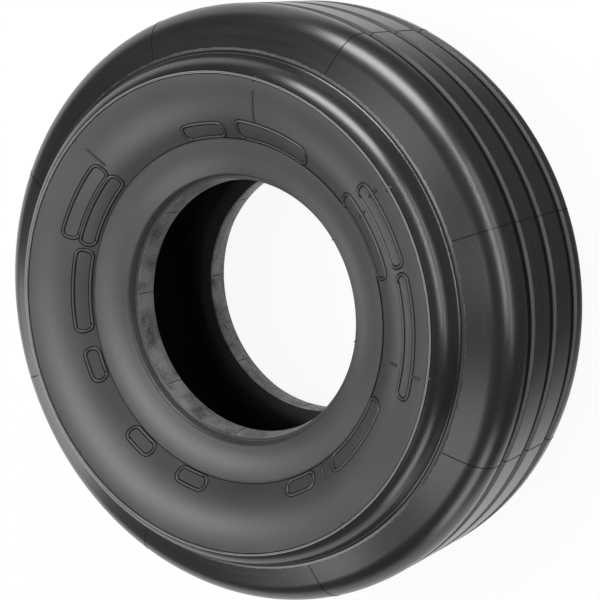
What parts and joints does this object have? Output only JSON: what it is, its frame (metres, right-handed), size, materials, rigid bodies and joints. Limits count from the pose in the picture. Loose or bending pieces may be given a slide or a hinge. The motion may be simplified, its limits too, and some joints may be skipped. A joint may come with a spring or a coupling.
{
  "type": "aircraft tire",
  "caption": "Small round tubeless tire with circumferential tread grooves, stepped shoulders, ringed sidewalls and two tapered beads round an open air chamber.",
  "frame": {"origin": "on the tire's axis, midway between its two sidewalls, which is the middle of its bounding box", "axes": "+Z along the tire's axis, out of the sidewall that faces up; the section is the same all round, so X and Y are any two radii"},
  "size_m": [0.358, 0.3578, 0.1512],
  "materials": {
    "rubber": "moulded rubber, satin with a soft sheen on the sidewall"
  },
  "bodies": {
    "root": {"tire": "rubber"}
  },
  "joints": []
}
